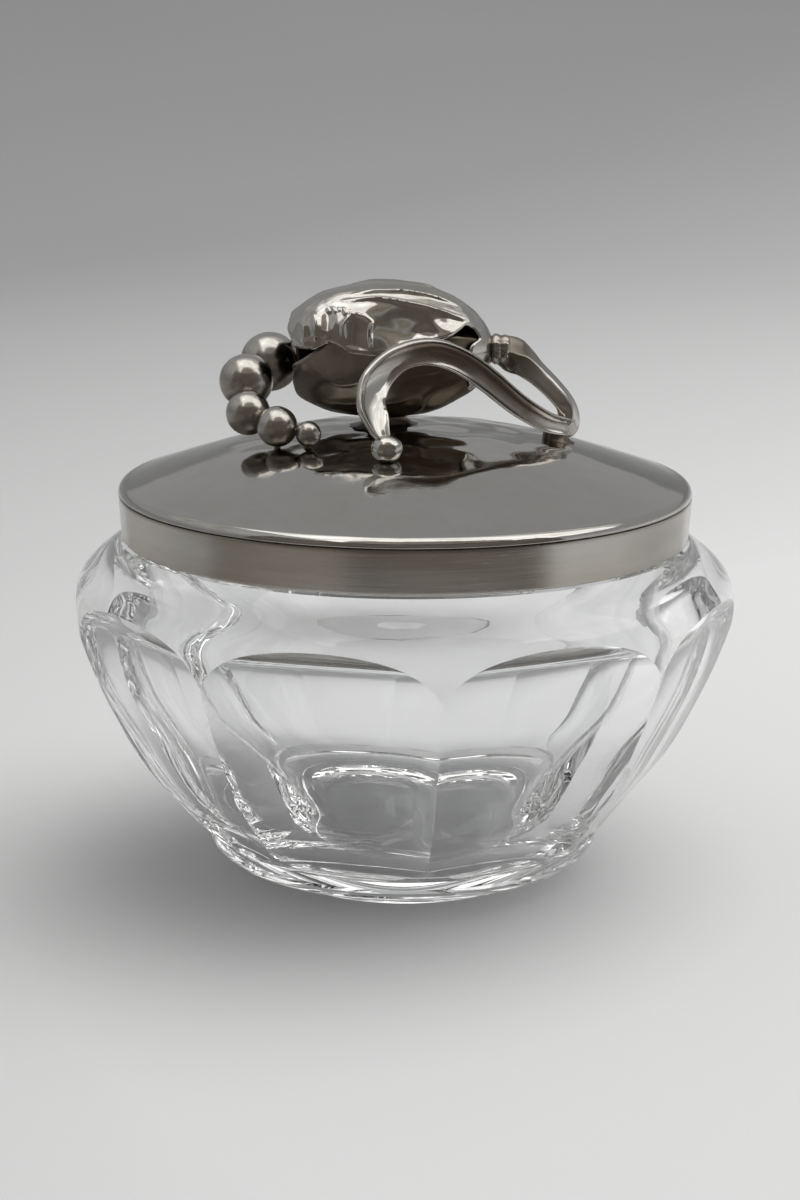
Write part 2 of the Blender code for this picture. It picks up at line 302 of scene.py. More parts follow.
def paint(piece, name, value, hollow=None):
    """Stores value(point) on each point, and 1, as painted shade, where a shell faces the centre of its
    hollow.
    """
    amounts = []
    for vertex in piece.data.vertices:
        spot = vertex.co / MM
        inside = False
        if hollow is not None:
            away = spot - hollow
            away.x *= 0.3    # the shells are long in X, so their ends face it less
            inside = away.dot(vertex.normal) < 0
        # Points on the inner side of a shell get full painted shade, as inside the closed bud
        amounts.append(1.0 if inside else value(spot))
    piece.data.attributes.new(name, "FLOAT", "POINT").data.foreach_set("value", amounts)


# ---------------------------------------------------------------- materials

def add_node(tree, kind, inputs=None, **settings):
    """A shader node, each input linked to a socket or set to a value."""
    node = tree.nodes.new(kind)
    for key, value in settings.items():
        setattr(node, key, value)
    for key, value in (inputs or {}).items():
        if isinstance(value, bpy.types.NodeSocket):
            tree.links.new(value, node.inputs[key])
        else:
            node.inputs[key].default_value = value
    return node


class Look:
    """A material's nodes, built up around its Principled shader."""

    def __init__(self, name):
        self.material = bpy.data.materials.new(name)
        self.material.use_nodes = True
        self.tree = self.material.node_tree
        self.shader = self.tree.nodes["Principled BSDF"]
        self.place = self.add("ShaderNodeTexCoord").outputs["Object"]

    def add(self, kind, inputs=None, **settings):
        return add_node(self.tree, kind, inputs, **settings)

    def set(self, socket, value):
        if isinstance(value, bpy.types.NodeSocket):
            self.tree.links.new(value, self.shader.inputs[socket])
        else:
            self.shader.inputs[socket].default_value = value

    def noise(self, scale, detail=3.0, stretch=(1.0, 1.0, 1.0), roughness=0.5):
        place = self.add("ShaderNodeMapping", {"Vector": self.place, "Scale": stretch})
        grain = {"Vector": place.outputs[0], "Scale": scale, "Detail": detail, "Roughness": roughness}
        return self.add("ShaderNodeTexNoise", grain).outputs["Fac"]

    def ramp(self, value, low, high, out_low=0.0, out_high=1.0):
        """Maps low..high to out_low..out_high, clamped."""
        ends = {"From Min": low, "From Max": high, "To Min": out_low, "To Max": out_high}
        return self.add("ShaderNodeMapRange", {"Value": value, **ends}).outputs[0]

    def maths(self, operation, a, b):
        return self.add("ShaderNodeMath", {0: a, 1: b}, operation=operation).outputs[0]

    def mix(self, factor, a, b):
        return self.add("ShaderNodeMix", {"Factor": factor, 6: a, 7: b}, data_type="RGBA").outputs[2]

    def painted(self, name):
        return self.add("ShaderNodeAttribute", attribute_name=name).outputs["Fac"]

    def bump(self, height, strength, distance, after=None):
        inputs = {"Height": height, "Strength": strength, "Distance": distance}
        if after:
            inputs["Normal"] = after
        return self.add("ShaderNodeBump", inputs).outputs[0]

    def end_in(self, shader):
        """Makes another shader the surface."""
        self.tree.links.new(shader.outputs[0], self.tree.nodes["Material Output"].inputs["Surface"])


# Silver: its two tones, and the dark of the oxide in its recesses, which also serves as painted shade
# inside hollows, under parts and where parts meet
SILVER_BRIGHT = (0.64, 0.63, 0.61, 1.0)
SILVER_WARM = (0.53, 0.50, 0.455, 1.0)
PATINA_AND_SHADE = (0.115, 0.086, 0.060, 1.0)

# Glass: its tint where clean and under a film, what its shadow lets through, a slow wave all over,
# and the blur and grit of the ground ring
GLASS_CLEAN = (0.985, 0.99, 0.99, 1.0)
GLASS_FILM = (0.965, 0.975, 0.975, 1.0)
GLASS_SHADOW = (0.78, 0.78, 0.785, 1.0)
GLASS_IOR = 1.54
GLASS_WAVE = 0.006
GROUND_ROUGHNESS = 0.12
GROUND_GRIT = 0.02


def polished_silver(name, gloss, warmth, patina_share, dents):
    """Hand-finished silver: soft dents, fine polishing lines, pits, and patina and painted shade where
    they are painted.
    """
    look = Look(name)
    tint = look.ramp(look.noise(90.0, 4.0), 0.35, 0.7, max(warmth - 0.2, 0.0), min(warmth + 0.2, 1.0))
    clean = look.mix(tint, SILVER_BRIGHT, SILVER_WARM)
    cloudy = look.ramp(look.noise(260.0, 6.0, roughness=0.65), 0.45, 0.75, 0.0, patina_share)
    # The painted amount darkens the silver towards the patina colour: real patina, and painted shade in
    # hollows and under parts
    grime_and_shade = look.maths("MAXIMUM", cloudy, look.painted("patina"))
    look.set("Base Color", look.mix(grime_and_shade, clean, PATINA_AND_SHADE))
    look.set("Metallic", 1.0)
    haze = look.ramp(look.noise(420.0, 5.0, roughness=0.7), 0.3, 0.8, gloss, gloss + 0.09)
    look.set("Roughness", look.maths("ADD", haze, look.ramp(grime_and_shade, 0.0, 1.0, 0.0, 0.25)))
    lines = look.noise(900.0, 4.0, stretch=(1.0, 1.0, 7.0))
    wear = look.noise(2600.0, 3.0)
    cells = look.add("ShaderNodeTexVoronoi", {"Vector": look.place, "Scale": 310.0})
    pits = look.ramp(cells.outputs["Distance"], 0.0, 0.09)
    soft = look.bump(look.noise(150.0, 2.0), dents, 0.0004)
    fine = look.bump(lines, 0.05, 0.0001, soft)
    finer = look.bump(wear, 0.03, 0.00006, fine)
    look.set("Normal", look.bump(pits, 0.12, 0.00005, finer))
    return look.material


def brushed_silver(name):
    """The band: fine lines round the lid, a warmer tone, dark along the solder seam."""
    look = Look(name)
    lines = look.noise(60.0, 8.0, stretch=(1.0, 1.0, 120.0), roughness=0.75)
    smears = look.noise(34.0, 3.0, stretch=(1.0, 1.0, 6.0))
    clean = look.mix(look.ramp(smears, 0.3, 0.7), SILVER_BRIGHT, SILVER_WARM)
    streaks = look.ramp(lines, 0.5, 0.8, 0.0, 0.16)
    grime_and_shade = look.maths("MAXIMUM", streaks, look.painted("patina"))
    look.set("Base Color", look.mix(grime_and_shade, clean, PATINA_AND_SHADE))
    look.set("Metallic", 1.0)
    look.set("Roughness", look.ramp(lines, 0.3, 0.75, 0.14, 0.30))
    ripple = look.bump(look.noise(85.0, 2.0, stretch=(1.0, 1.0, 0.6)), 0.25, 0.0003)
    look.set("Normal", look.bump(lines, 0.10, 0.00008, ripple))
    return look.material


def clear_glass(name):
    """Heavy lead glass, wiped but not spotless, with a ground ring where the foot bears."""
    look = Look(name)
    film = look.noise(55.0, 3.0)
    look.set("Base Color", look.mix(film, GLASS_CLEAN, GLASS_FILM))
    look.set("Transmission Weight", 1.0)
    look.set("IOR", GLASS_IOR)
    look.set("Roughness", look.ramp(look.painted("ground"), 0.0, 1.0, 0.0, GROUND_ROUGHNESS))
    wave = look.bump(look.noise(60.0, 2.0), GLASS_WAVE, 0.0004)
    grit = look.maths("MULTIPLY", look.noise(2200.0, 3.0), look.painted("ground"))
    look.set("Normal", look.bump(grit, GROUND_GRIT, 0.00005, wave))
    path = look.add("ShaderNodeLightPath")
    passing = look.maths("MAXIMUM", path.outputs["Is Shadow Ray"], path.outputs["Is Diffuse Ray"])
    clear = look.add("ShaderNodeBsdfTransparent", {"Color": GLASS_SHADOW})
    shaders = {0: passing, 1: look.shader.outputs[0], 2: clear.outputs[0]}
    look.end_in(look.add("ShaderNodeMixShader", shaders))
    return look.material


# ---------------------------------------------------------------- glass bowl

bulge_radii, bulge_heights = outline(BULGE)
face_radii, face_heights = outline(PANEL_FACE)
cove_slope = (face_radii[-1] - face_radii[-2]) / (face_heights[-1] - face_heights[-2])


def bulge_at(height):
    """Radius of the bulge before it is cut."""
    return np.interp(height, bulge_heights, bulge_radii)


def face_at(height):
    """Distance of a panel's face from the axis: flat across, and curved out in the cove above."""
    rise = np.maximum(np.asarray(height) - COVE_START, 0.0)
    cove = face_radii[-1] + cove_slope * rise + rise ** 2 / (2 * COVE_RADIUS)
    return np.where(rise > 0, cove, np.interp(height, face_heights, face_radii))


def crossings(turn):
    """Heights between which the panel's cut is deeper than the bulge, this far from its middle."""
    heights = np.linspace(BELT_HEIGHT, SHOULDER_HEIGHT, 2000)
    cut = np.nonzero(face_at(heights) / math.cos(turn) <= bulge_at(heights))[0]
    return heights[cut[0]], heights[cut[-1]]


def column_turns():
    """Turns of the mesh columns from a panel's middle, with one at each corner of the cut."""
    half = math.pi / PANELS
    turns = list(np.linspace(-half, half, COLUMNS + 1)[:-1])
    belt = math.acos(face_at(BELT_HEIGHT) / bulge_at(BELT_HEIGHT))
    cove = math.acos(face_at(COVE_START) / bulge_at(COVE_START))
    return sorted(turns + [-belt, belt, -cove, cove])


def outer_column(turn):
    """(r, z) of the outside from belt to shoulder, this far from a panel's middle."""
    low, high = crossings(turn)
    turned_over = min(COVE_START, high)
    parts = [(np.linspace(BELT_HEIGHT, low, 5)[:-1], bulge_at),
             (np.linspace(low, turned_over, 44)[:-1], None),
             (np.linspace(turned_over, high, 14)[:-1], None),
             (np.linspace(high, SHOULDER_HEIGHT, 16), bulge_at)]
    column = []
    for heights, shape in parts:
        radii = shape(heights) if shape else face_at(heights) / math.cos(turn)
        column += list(zip(radii, heights))
    return column


def inside_and_neck():
    """(r, z) from the middle of the floor up the cavity, over the rim and down the neck."""
    cavity_r, cavity_z = outline(CAVITY, 9)
    cavity = list(zip(cavity_r, cavity_z))
    rim_middle = RIM_HEIGHT - RIM_ROUNDING
    rim = arc((MOUTH_RADIUS + RIM_ROUNDING, rim_middle), RIM_ROUNDING, 180, 90, 8)
    rim += arc((NECK_RADIUS - RIM_ROUNDING, rim_middle), RIM_ROUNDING, 90, 0, 8)
    neck = [(NECK_RADIUS, 59.0), (NECK_RADIUS, 57.4), (NECK_RADIUS + 0.1, 56.95),
            (NECK_RADIUS + 0.6, 56.65)]
    return cavity[::-1] + rim + neck


def base_and_foot():
    """(r, z) from the belt down to the ground ring and into the hollow under the foot."""
    base = arc((BULGE[0][0] - BASE_ROUNDING, BELT_HEIGHT), BASE_ROUNDING, -8, -55, 5)
    base += [(28.0, 3.1), (25.6, 2.25), (24.3, 1.9)]
    foot = arc((FOOT_RADIUS - FOOT_ROUNDING, FOOT_ROUNDING), FOOT_ROUNDING, 30, -90, 8)
    foot += [(PONTIL_RADIUS + 1.4, 0.0), (PONTIL_RADIUS + 0.2, 0.0)]
    hollow = [(PONTIL_RADIUS * i / 10, PONTIL_DEPTH * (1 - (i / 10) ** 2)) for i in range(10, -1, -1)]
    return base + foot + hollow


def glass_bowl():
    above = inside_and_neck()
    below = base_and_foot()
    turns = column_turns()
    middle = PANEL_TURN + math.pi / PANELS
    columns = []
    for panel in range(PANELS):
        for turn in turns:
            azimuth = middle + 2 * math.pi * panel / PANELS + turn
            profile = above + outer_column(turn)[::-1] + below
            columns.append([(r * math.sin(azimuth), -r * math.cos(azimuth), z) for r, z in profile])
    points = [p for column in columns for p in column]
    length = len(columns[0])
    rings = [[c * length + k for c in range(len(columns))] for k in range(length)]
    faces = ring_faces(rings)
    bowl = add_piece("cut_glass_bowl", points, faces, clear_glass("glass"), "bowl", "clear_glass",
                     ["glass_bowl"], sharp=9.0)

    def ground(p):
        return 1.0 if p.z < 0.12 and math.hypot(p.x, p.y) > PONTIL_RADIUS else 0.0

    paint(bowl, "ground", ground)


# ---------------------------------------------------------------- lid

def dome_height(radius):
    return DOME_BASE + DOME_RISE * (1 - (radius / LID_RADIUS) ** 2)


def lid_dome(silver):
    reach = LID_RADIUS - EDGE_RADIUS
    outer = [(reach * i / 90, dome_height(reach * i / 90)) for i in range(90)]
    drop = dome_height(reach) - EDGE_RADIUS
    edge = arc((reach, drop), EDGE_RADIUS, 78, 4, 18)
    edge += [(LID_RADIUS, SEAM_HEIGHT + 0.28), (LID_RADIUS - 0.05, SEAM_HEIGHT + 0.12),
             (LID_RADIUS - 0.22, SEAM_HEIGHT)]
    inner = [(r - LID_WALL * r / reach, z - LID_WALL) for r, z in outer[::-3]]
    inner[-1] = (0.0, inner[-1][1])
    inner.insert(0, (LID_RADIUS - LID_WALL, SEAM_HEIGHT))

    def hammered(spot):
        """Rise of the dome's skin: faint planishing all over, deeper round the finial."""
        radius = math.hypot(spot.x, spot.y)
        worked = math.exp(-(radius / WORKED_RADIUS) ** 6)
        rise = 0.04 * rough(spot, 11.0) + 0.016 * rough(spot, 4.5, 3.0)
        rise += SWELL_HEIGHT * math.exp(-((radius - SWELL_RADIUS) / SWELL_WIDTH) ** 2)
        rise += worked * (0.40 * rough(spot, 8.0, 5.0) + 0.16 * rough(spot, 4.2, 6.0))
        return Vector((0.0, 0.0, rise * min(1.0, radius / 3.0)))

    points, rings = turned(outer + edge + inner, LID_SEGMENTS, wobble=hammered)
    dome = add_piece("silver_dome", points, ring_faces(rings), silver, "lid", "silver_polished",
                     ["lid_dome"])

    def darkening(p):
        """Dark along the solder seam, and a little on the inside."""
        seam = 0.85 * math.exp(-((p.z - SEAM_HEIGHT) / 0.22) ** 2)
        radius = math.hypot(p.x, p.y)
        inside = radius < reach and p.z < dome_height(radius) - 0.5
        return max(seam, 0.35 if inside else 0.0)

    paint(dome, "patina", darkening)


def lid_band(silver):
    foot = LID_RADIUS - BAND_TAPER
    top = SEAM_HEIGHT - 0.02
    tall = top - 0.25 - BAND_BOTTOM - 0.25
    outside = [(LID_RADIUS - 0.22, top), (LID_RADIUS - 0.06, top - 0.1)]
    outside += [(LID_RADIUS - 0.02 - BAND_TAPER * t, top - 0.25 - tall * t)
                for t in np.linspace(0.0, 1.0, 16)]
    lip = arc((foot - 0.27, BAND_BOTTOM + 0.25), 0.25, 0, -90, 5)
    inside = [(foot - LID_WALL, BAND_BOTTOM), (foot - LID_WALL - 0.1, BAND_BOTTOM + 0.2),
              (LID_RADIUS - LID_WALL - 0.1, top)]
    profile = outside + lip + inside

    def uneven(spot):
        out = Vector((spot.x, spot.y, 0.0)).normalized()
        return out * (0.035 * rough(spot, 14.0, 5.0) - 0.02)

    points, rings = turned(profile, LID_SEGMENTS, wobble=uneven)
    faces = ring_faces(rings + [rings[0]])
    band = add_piece("silver_band", points, faces, silver, "lid", "silver_band", ["lid_band"])

    def darkening(p):
        """Dark along both edges."""
        seam = 0.8 * math.exp(-((p.z - SEAM_HEIGHT) / 0.3) ** 2)
        return seam + 0.5 * math.exp(-((p.z - BAND_BOTTOM) / 0.15) ** 2)

    paint(band, "patina", darkening)


# ---------------------------------------------------------------- bud

ARC_PER_DEGREE = BUD_HEIGHT * math.pi / 180    # millimetres round the bud


def swell(along, blunt):
    """Share of the bud's full section at this distance from its centre."""
    heel = np.sqrt(np.maximum(1 - (np.maximum(along, 0.0) / BUD_HEEL) ** 2, 0.0))
    mouth = np.sqrt(np.maximum(1 - (np.maximum(-along, 0.0) / BUD_MOUTH) ** blunt, 0.0))
    return np.where(along > 0, heel, mouth)


def crease(along, degrees, spots, width, height):
    """A raised line through (along, degrees) spots on the bud, fading at its ends."""
    line = [np.array(p[:2]) for p in smooth_line([(a, d * ARC_PER_DEGREE, 0.0) for a, d in spots], 5)]
    place = np.stack((along, degrees * ARC_PER_DEGREE), axis=-1)
    nearest = np.full(along.shape, 1e9)
    share = np.zeros(along.shape)
    for k, (a, b) in enumerate(zip(line, line[1:])):
        step = np.clip(((place - a) @ (b - a)) / ((b - a) @ (b - a)), 0.0, 1.0)
        away = np.linalg.norm(place - (a + step[..., None] * (b - a)), axis=-1)
        share = np.where(away < nearest, (k + step) / (len(line) - 1), share)
        nearest = np.minimum(nearest, away)
    fade = np.clip(5.0 * share * (1 - share) + 0.25, 0.0, 1.0)
    return height * fade * np.exp(-(nearest / width) ** 2)


def dent(along, degrees, centre, size, depth):
    """A soft hollow round an (along, degrees) place; size is (along, around) in millimetres."""
    x = (along - centre[0]) / size[0]
    y = (degrees - centre[1]) * ARC_PER_DEGREE / size[1]
    return -depth * np.exp(-(x ** 2 + y ** 2) ** 1.5)


def bud_grid(start, end, rows, columns, low_edge, back, mouth, tuck, blunt, sign, relief):
    """Outer points of a petal between its edges; behind, its edge is no higher than `back` degrees."""
    share = np.linspace(0.0, 1.0, columns)[None, :]
    step = np.linspace(0.0, 1.0, rows)[:, None]
    along = start + (end - start) * step + (1 - step) ** 6 * curve_through(mouth, share)
    low = low_edge(along[:, :1])
    degrees = low + (180.0 - np.minimum(low, back) - low) * share
    turn = np.radians(degrees)
    proud = relief(along, degrees)
    side = BUD_DEPTH * swell(along, 2.2) - tuck + proud
    height = BUD_HEIGHT * swell(along, blunt) + proud
    points = np.stack((BUD_CENTRE.x + along, BUD_CENTRE.y - side * np.cos(turn),
                       BUD_CENTRE.z + sign * height * np.sin(turn)), axis=-1)
    for row in points:
        for point in row:
            push = 0.22 * rough(point, 5.0, 2.0) + 0.10 * rough(point, 2.2, 4.0)
            away = Vector(point) - BUD_CENTRE
            away.x *= 0.4
            point += np.array(away.normalized()) * push
    return points


# Worked lines on the petals: (along, degrees) spots, width and height
UPPER_LINES = [([(-5.5, 62), (0.0, 64), (7.0, 63.5), (11.5, 65)], 0.38, 0.40),
               ([(-7.0, 54.5), (0.3, 51.5), (7.0, 46.5), (12.0, 45)], 0.42, 0.52),
               ([(-8.0, 118), (2.0, 120), (10.5, 126)], 0.5, 0.4),
               ([(-6.0, 96), (2.0, 90), (9.0, 88)], 0.6, 0.3),
               ([(-5.5, 38.5), (-6.8, 31), (-7.1, 25), (-6.9, 13)], 0.40, 0.42),
               ([(-5.5, 38.5), (-4.0, 36), (-2.5, 30)], 0.32, 0.38),
               ([(-2.5, 31), (-2.7, 20), (-2.5, 7)], 0.28, 0.50),
               ([(-14.2, 44), (-13.7, 28), (-13.6, 14)], 0.55, 0.32),
               ([(-12.0, 47), (-11.5, 30), (-11.7, 12)], 0.50, 0.36)]
LOWER_LINES = [([(5.1, 64), (5.9, 50), (6.5, 41), (9.4, 33), (12.6, 34)], 0.5, 0.55),
               ([(-11.7, 14), (-7.7, 28), (-4.1, 22)], 0.35, 0.22),
               ([(-9.0, 52), (-3.0, 47), (3.0, 42)], 0.55, 0.35),
               ([(0.0, 20), (4.0, 16), (9.0, 14)], 0.4, 0.2)]

# Hollows: an (along, degrees) centre, a size in millimetres and a depth, less than 0 for a swelling
UPPER_DENTS = [((2.0, 58), (9.0, 0.9), 0.15), ((-4.7, 19), (2.3, 3.6), 0.55),
               ((-12.6, 30), (3.0, 3.0), -0.6), ((-9.7, 34), (1.1, 2.4), 0.4),
               ((-14.6, 26), (1.1, 2.4), 0.4), ((-10.4, 13), (1.6, 1.4), 0.4),
               ((2.8, 28), (5.0, 3.2), 0.90), ((6.4, 22), (1.8, 1.6), 0.45),
               ((9.6, 38), (2.4, 1.8), 0.45)]
LOWER_DENTS = [((-7.0, 40), (4.5, 2.4), 0.4), ((8.2, 48), (2.4, 2.2), 0.4)]

# Short crimps above the folded panel: (along, degrees) of the top, length in degrees and height
CRIMPS = [(-9.6, 48, 5, 0.22), (-8.9, 49, 8, 0.30), (-8.0, 47, 5, 0.26), (-7.2, 46, 9, 0.32),
          (-6.2, 43, 5, 0.26)]


def worked(along, degrees, lines, dents):
    """Height of all the raised lines and hollows of a petal."""
    relief = np.zeros(np.broadcast(along, degrees).shape)
    for spots, width, height in lines:
        relief += crease(along, degrees, spots, width, height)
    for centre, size, depth in dents:
        relief += dent(along, degrees, centre, size, depth)
    return relief


def upper_relief(along, degrees):
    """Two lengthwise veins, a folded panel between raised lines, crimps, hollows and a rolled lip."""
    relief = worked(along, degrees, UPPER_LINES, UPPER_DENTS)
    for start, top, long, tall in CRIMPS:
        relief += crease(along, degrees, [(start, top), (start + 0.08 * long, top - long)], 0.26, tall)
    front = np.minimum(degrees, 180.0 - degrees)
    lip = np.exp(-(front - np.minimum(front.min(axis=1, keepdims=True), front)) / 4.0)
    return relief + 0.35 * lip


def lower_relief(along, degrees):
    relief = worked(along, degrees, LOWER_LINES, LOWER_DENTS)
    lip = np.exp(-(degrees - degrees.min(axis=1, keepdims=True)) / 4.0)
    return relief + 0.25 * lip


def upper_edge(along):
    """The upper petal's edge, wavy like a torn leaf, in degrees above the bud's widest line."""
    stations = [(-16.2, 22), (-15.7, 15), (-14.6, 11), (-12.8, 9.5), (-11.4, 10.5), (-9.8, 14.5),
                (-8.2, 12.5), (-6.3, 7), (-3.9, 4.7), (-1.0, 4.6), (3.0, 9), (7.2, 17), (10.0, 22),
                (11.7, 33), (13.1, 43), (15.1, 42)]
    return curve_through(stations, along)


def lower_edge(along):
    """The lower petal's edge, in degrees below the same line."""
    stations = [(-15.4, 30), (-14.9, 18), (-13.8, 10), (-12.0, 1), (-10.2, -6), (-8.8, -14),
                (-7.0, -15), (-3.0, -13), (4.0, -13), (15.1, -18)]
    return curve_through(stations, along)


def recess(centre, reach):
    """Darkening that gathers near a point where parts meet: patina and painted shade."""
    return lambda p: 0.9 * math.exp(-((p - Vector(centre)).length / reach) ** 2)


def upper_petal(silver):
    ragged = [(0.0, 1.1), (0.08, 0.5), (0.2, -0.1), (0.32, 0.35), (0.5, 0.7), (0.7, 0.1), (0.85, 0.5),
              (1.0, 0.2)]
    grid = bud_grid(UPPER_START, BUD_END, 150, 130, upper_edge, 8.0, ragged, 0.0, 2.2, 1, upper_relief)
    petal = add_piece("upper_petal", *thick_sheet(grid, PETAL_WALL), silver, "lid", "silver_polished",
                      ["bud_upper_petal"], sharp=60.0)
    # Painted shade: darker round the bud's middle height, along the lip where the petals part, and fully
    # dark inside
    paint(petal, "patina", lambda p: 0.5 * math.exp(-((p.z - BUD_CENTRE.z) / 1.2) ** 2), BUD_CENTRE)


def lower_petal(dark):
    rounded = [(0.0, 0.3), (0.15, 0.0), (0.3, 0.6), (0.5, 1.5), (0.7, 0.5), (1.0, 0.2)]
    grid = bud_grid(LOWER_START, BUD_END, 120, 110, lower_edge, -17.0, rounded, PETAL_TUCK, 2.8, -1,
                    lower_relief)
    petal = add_piece("lower_petal", *thick_sheet(grid, PETAL_WALL), dark, "lid", "silver_patina",
                      ["bud_lower_petal"], sharp=60.0)

    def shade(p):
        """Darker towards the bottom and towards the heel."""
        below = clamped((BUD_CENTRE.z - 2.0 - p.z) / 7.0)
        heel_side = clamped((p.x - BUD_CENTRE.x + 1.0) / 5.0)
        return min(0.55 + 0.35 * below + 0.35 * heel_side, 0.95)

    paint(petal, "patina", shade, BUD_CENTRE)


def bud_heel(silver):
    """The closed cup behind the petals, a hair inside them, with a notch in front."""
    rows, columns, inset = 26, 97, 0.12
    turn = np.linspace(0.0, 2 * math.pi, columns)[None, :] * np.ones((rows, 1))
    notch = 1.7 * np.exp(-((np.degrees(turn) - 28.0) / 13.0) ** 2)
    start = BUD_END - 1.6 + notch
    share = np.linspace(0.0, 1.0, rows)[:, None]
    along = start + (BUD_HEEL - 0.05 - start) * np.sin(share * math.pi / 2)
    round_off = swell(along, 2.0)
    side = BUD_DEPTH * round_off - inset
    height = BUD_HEIGHT * round_off - inset
    points = np.stack((BUD_CENTRE.x + along, BUD_CENTRE.y - side * np.cos(turn),
                       BUD_CENTRE.z + height * np.sin(turn)), axis=-1)
    heel = add_piece("bud_heel", *thick_sheet(points, 0.7), silver, "lid", "silver_polished",
                     ["bud_calyx"], sharp=60.0)
    stem_end = (BUD_CENTRE.x + BUD_HEEL, BUD_CENTRE.y, BUD_CENTRE.z)
    # Painted shade where the stem meets the heel, and on the cup's inside
    paint(heel, "patina", recess(stem_end, 3.4), BUD_CENTRE)


# ---------------------------------------------------------------- beads, posts and strap

def bead_place(number):
    low, high = box_mm(f"bead_{number}")
    return (low + high) / 2, (high.z - low.z) / 2 + BEAD_CLEARANCE


def bead(number, silver):
    """A hand-made ball: round to a few hundredths, with a soft dent or two."""
    centre, radius = bead_place(number)
    seed = float(number)

    def dented(out):
        uneven = 0.035 * rough(out * radius, 3.5, seed) + 0.012 * rough(out * radius, 1.2, seed)
        return centre + out * (radius + uneven)

    piece = add_piece(f"pearl_{number}", *ball(dented), silver, "lid", "silver_polished",
                      [f"bead_{number}"], sharp=80.0)
    joints = [bead_place(n)[0] for n in (number - 1, number + 1) if 1 <= n <= BEAD_COUNT]
    contacts = [centre + (joint - centre).normalized() * radius for joint in joints]

    def darkening(p):
        """Dark round the solder, and painted shade on the underside."""
        solder = max(0.9 * math.exp(-((p - c).length / (0.42 * radius)) ** 2) for c in contacts)
        underside_shade = 0.75 * clamped(0.45 - 0.9 * (p.z - centre.z) / radius)
        return max(solder, underside_shade)

    paint(piece, "patina", darkening)


def bead_joint(number, dark):
    """The solder between a bead and the next one: a short waisted neck."""
    centre, radius = bead_place(number)
    after, next_radius = bead_place(number + 1)
    axis = (after - centre).normalized()
    waist = 0.28 * min(radius, next_radius)
    reach = 0.55
    profile = [(0.0, -reach)]
    profile += [(waist + reach * t ** 2, reach * t) for t in np.linspace(-1, 1, 11)]
    profile += [(0.0, reach)]
    points, rings = turned(profile, 32, centre + axis * radius, axis)
    piece = add_piece(f"pearl_solder_{number}", points, ring_faces(rings), dark, "lid",
                      "silver_patina", [])
    paint(piece, "patina", lambda p: 0.8)


def solder_foot(name, centre, top, narrow, wide, dark, nodes):
    """A post that spreads into a fillet where it meets the dome."""
    base = dome_height(math.hypot(centre[0], centre[1])) - 0.25
    tall = top - base
    profile = [(0.0, 0.0)]
    profile += [(narrow + (wide - narrow) * (1 - t) ** 3, tall * t) for t in np.linspace(0.0, 1.0, 18)]
    profile += [(0.0, tall)]

    def lumpy(spot):
        out = Vector((spot.x, spot.y, 0.0))
        return out * 0.12 * rough(spot, 1.1, 6.0)

    points, rings = turned(profile, 48, (centre[0], centre[1], base), wobble=lumpy)
    piece = add_piece(name, points, ring_faces(rings), dark, "lid", "silver_patina", nodes, sharp=70.0)
    # Dark all over: solder, and painted shade under what the fillet carries
    paint(piece, "patina", lambda p: 0.85)


def collar(dark):
    """The soft ring between the bud's heel and the stem, worn, with shallow flutes."""
    low, high = box_mm("stem_collar")
    centre = (low + high) / 2
    radius = (high.z - low.z) / 2
    start = low.x - centre.x - 0.5
    long = high.x - low.x + 0.9
    groove = 1.7
    ridges = [(radius - 0.7, 0.0), (radius - 0.25, 0.3), (radius, 0.8), (radius - 0.12, 1.3),
              (radius - 0.32, groove), (radius - 0.2, 2.2), (radius - 0.25, 2.7), (radius - 0.6, 3.1),
              (radius - 1.2, long)]
    profile = [(0.0, 0.0)] + list(zip(*outline(ridges, 5))) + [(0.0, long)]

    def fluted(spot):
        out = Vector((spot.x, spot.y, 0.0))
        flutes = math.sin(11 * math.atan2(spot.y, spot.x))
        return out * (0.025 * flutes + 0.04 * rough(spot, 1.6, 12.0))

    points, rings = turned(profile, 96, centre + Vector((start, 0.0, 0.0)), (1.0, 0.0, 0.0), fluted)
    piece = add_piece("stem_ring", points, ring_faces(rings), dark, "lid", "silver_patina",
                      ["stem_collar"], sharp=60.0)
    middle = centre.x + start + groove
    paint(piece, "patina", lambda p: 0.5 * math.exp(-((p.x - middle) / 0.4) ** 2) + 0.2)


# Outlines across the straps: (towards the outer edge, towards the face)
TENDRIL_SECTION = [(2.1, 0.3), (2.04, 0.7), (1.88, 0.9), (1.70, 0.78), (1.5, 0.36), (1.0, 0.04),
                   (0.2, -0.16), (-0.8, -0.14), (-1.7, 0.08), (-2.25, 0.42), (-2.5, 0.66), (-2.72, 0.68),
                   (-2.9, 0.45), (-2.95, 0.05), (-2.7, -0.45), (-1.8, -0.85), (-0.6, -1.0), (0.6, -0.95),
                   (1.4, -0.75), (1.95, -0.25)]
STEM_SECTION = [(2.0, -0.35), (1.85, 0.1), (1.2, 0.55), (0.55, 0.93), (0.2, 1.0), (-0.25, 0.82),
                (-1.1, 0.42), (-1.8, 0.1), (-2.05, -0.2), (-1.5, -0.7), (-0.5, -0.9), (0.7, -0.9),
                (1.6, -0.7)]

